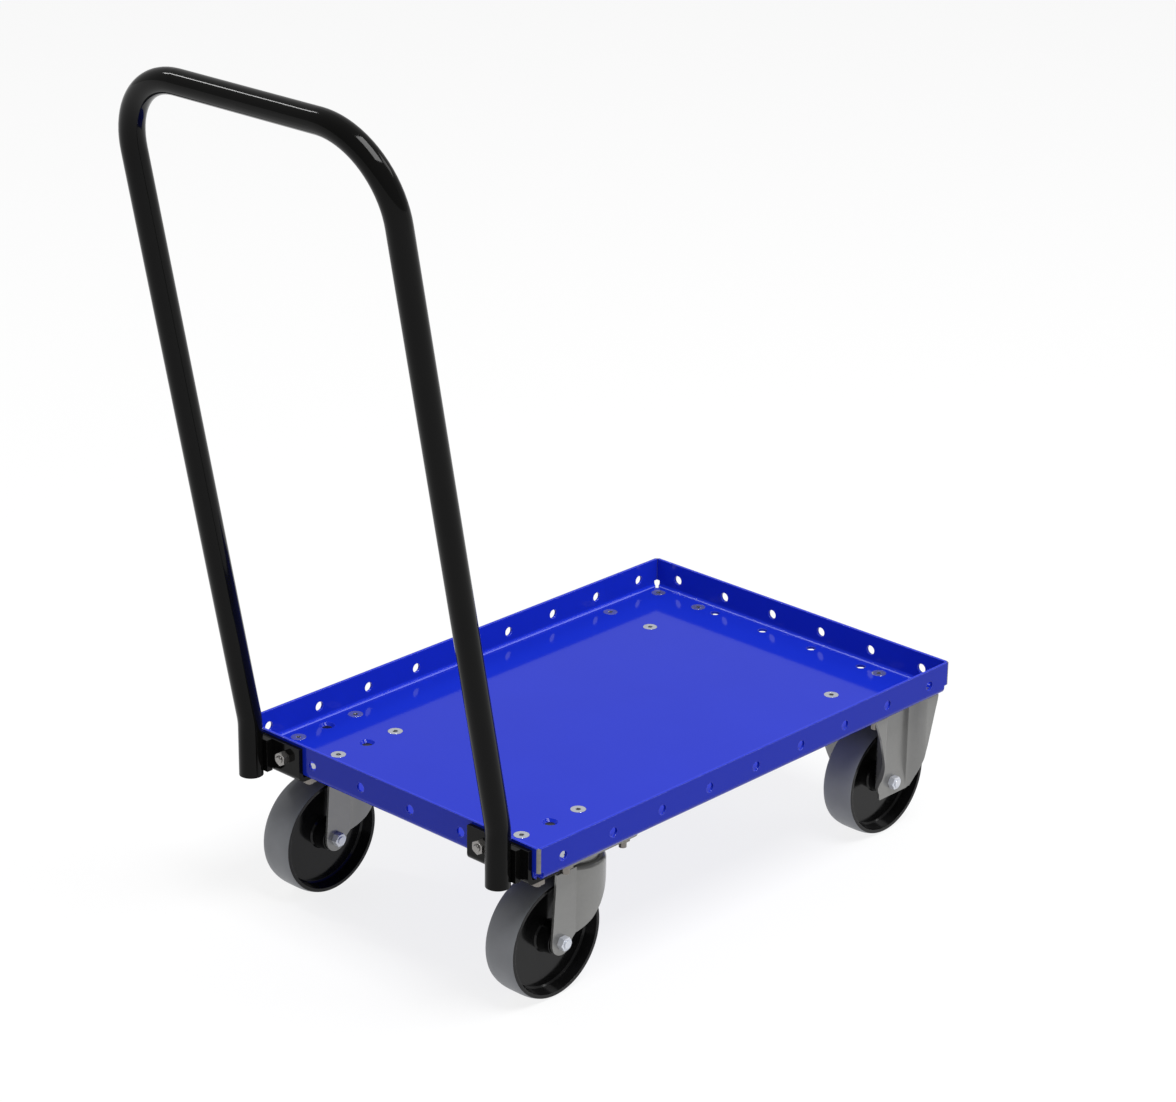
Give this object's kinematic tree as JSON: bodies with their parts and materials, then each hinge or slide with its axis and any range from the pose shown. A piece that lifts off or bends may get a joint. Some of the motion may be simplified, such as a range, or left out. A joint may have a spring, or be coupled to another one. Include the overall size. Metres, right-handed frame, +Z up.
{
  "type": "flatbed platform truck",
  "caption": "Low platform truck with a folded tray deck on swivel and rigid casters, and a fixed leaning push handle of bent tube.",
  "frame": {"origin": "centre of the truck's footprint box, on the floor that the wheels stand on", "axes": "+X along the deck, away from the push handle; +Y across the deck, to the left of a person pushing; +Z up"},
  "size_m": [0.8019, 0.4196, 0.9145],
  "materials": {
    "blue_powder_coat": "smooth semi-gloss powder coat",
    "weld_steel": "dressed weld bead",
    "black_gloss_coat": "gloss powder coat",
    "zinc_sheet": "satin zinc plate",
    "bright_zinc_fasteners": "bright zinc plate",
    "bearing_steel": "ground",
    "black_wheel_plastic": "moulded gloss",
    "grey_tread": "satin solid tread"
  },
  "bodies": {
    "chassis": {"deck_tray": "blue_powder_coat", "corner_welds": "weld_steel", "handle_tube": "black_gloss_coat", "handle_saddles": "black_gloss_coat", "left_handle_bracket": "black_gloss_coat", "right_handle_bracket": "black_gloss_coat", "handle_bolts": "bright_zinc_fasteners", "handle_nuts": "bright_zinc_fasteners", "bracket_screws": "bright_zinc_fasteners", "bracket_nuts": "bright_zinc_fasteners", "caster_screws": "bright_zinc_fasteners", "caster_nuts": "bright_zinc_fasteners", "left_swivel_top_plate": "zinc_sheet", "left_swivel_kingpin": "bright_zinc_fasteners", "left_swivel_lower_race": "bearing_steel", "right_swivel_top_plate": "zinc_sheet", "right_swivel_kingpin": "bright_zinc_fasteners", "right_swivel_lower_race": "bearing_steel", "left_rigid_fork": "zinc_sheet", "left_rigid_axle_bolt": "bright_zinc_fasteners", "left_rigid_axle_nut": "bright_zinc_fasteners", "left_rigid_axle_tube": "bearing_steel", "right_rigid_fork": "zinc_sheet", "right_rigid_axle_bolt": "bright_zinc_fasteners", "right_rigid_axle_nut": "bright_zinc_fasteners", "right_rigid_axle_tube": "bearing_steel"},
    "left_swivel_body": {"left_swivel_upper_balls": "bearing_steel", "left_swivel_lower_balls": "bearing_steel", "left_swivel_fork": "zinc_sheet", "left_swivel_axle_bolt": "bright_zinc_fasteners", "left_swivel_axle_nut": "bright_zinc_fasteners", "left_swivel_axle_tube": "bearing_steel"},
    "right_swivel_body": {"right_swivel_upper_balls": "bearing_steel", "right_swivel_lower_balls": "bearing_steel", "right_swivel_fork": "zinc_sheet", "right_swivel_axle_bolt": "bright_zinc_fasteners", "right_swivel_axle_nut": "bright_zinc_fasteners", "right_swivel_axle_tube": "bearing_steel"},
    "left_swivel_wheel": {"left_swivel_wheel_rim": "black_wheel_plastic", "left_swivel_wheel_tread": "grey_tread", "left_swivel_wheel_bearing": "bearing_steel"},
    "right_swivel_wheel": {"right_swivel_wheel_rim": "black_wheel_plastic", "right_swivel_wheel_tread": "grey_tread", "right_swivel_wheel_bearing": "bearing_steel"},
    "left_rigid_wheel": {"left_rigid_wheel_rim": "black_wheel_plastic", "left_rigid_wheel_tread": "grey_tread", "left_rigid_wheel_bearing": "bearing_steel"},
    "right_rigid_wheel": {"right_rigid_wheel_rim": "black_wheel_plastic", "right_rigid_wheel_tread": "grey_tread", "right_rigid_wheel_bearing": "bearing_steel"}
  },
  "joints": [
    {"name": "left_caster_swivel", "type": "hinge", "parent": "chassis", "child": "left_swivel_body", "pos_m": [-0.13155, 0.16, 0.145], "axis": [0, 0, 1], "continuous": true},
    {"name": "left_swivel_wheel_spin", "type": "hinge", "parent": "left_swivel_body", "child": "left_swivel_wheel", "pos_m": [-0.17155, 0.16, 0.0625], "axis": [0, 1, 0], "continuous": true},
    {"name": "left_rigid_wheel_spin", "type": "hinge", "parent": "chassis", "child": "left_rigid_wheel", "pos_m": [0.33845, 0.16, 0.0625], "axis": [0, 1, 0], "continuous": true},
    {"name": "right_caster_swivel", "type": "hinge", "parent": "chassis", "child": "right_swivel_body", "pos_m": [-0.13155, -0.16, 0.145], "axis": [0, 0, 1], "continuous": true},
    {"name": "right_swivel_wheel_spin", "type": "hinge", "parent": "right_swivel_body", "child": "right_swivel_wheel", "pos_m": [-0.17155, -0.16, 0.0625], "axis": [0, 1, 0], "continuous": true},
    {"name": "right_rigid_wheel_spin", "type": "hinge", "parent": "chassis", "child": "right_rigid_wheel", "pos_m": [0.33845, -0.16, 0.0625], "axis": [0, 1, 0], "continuous": true}
  ]
}
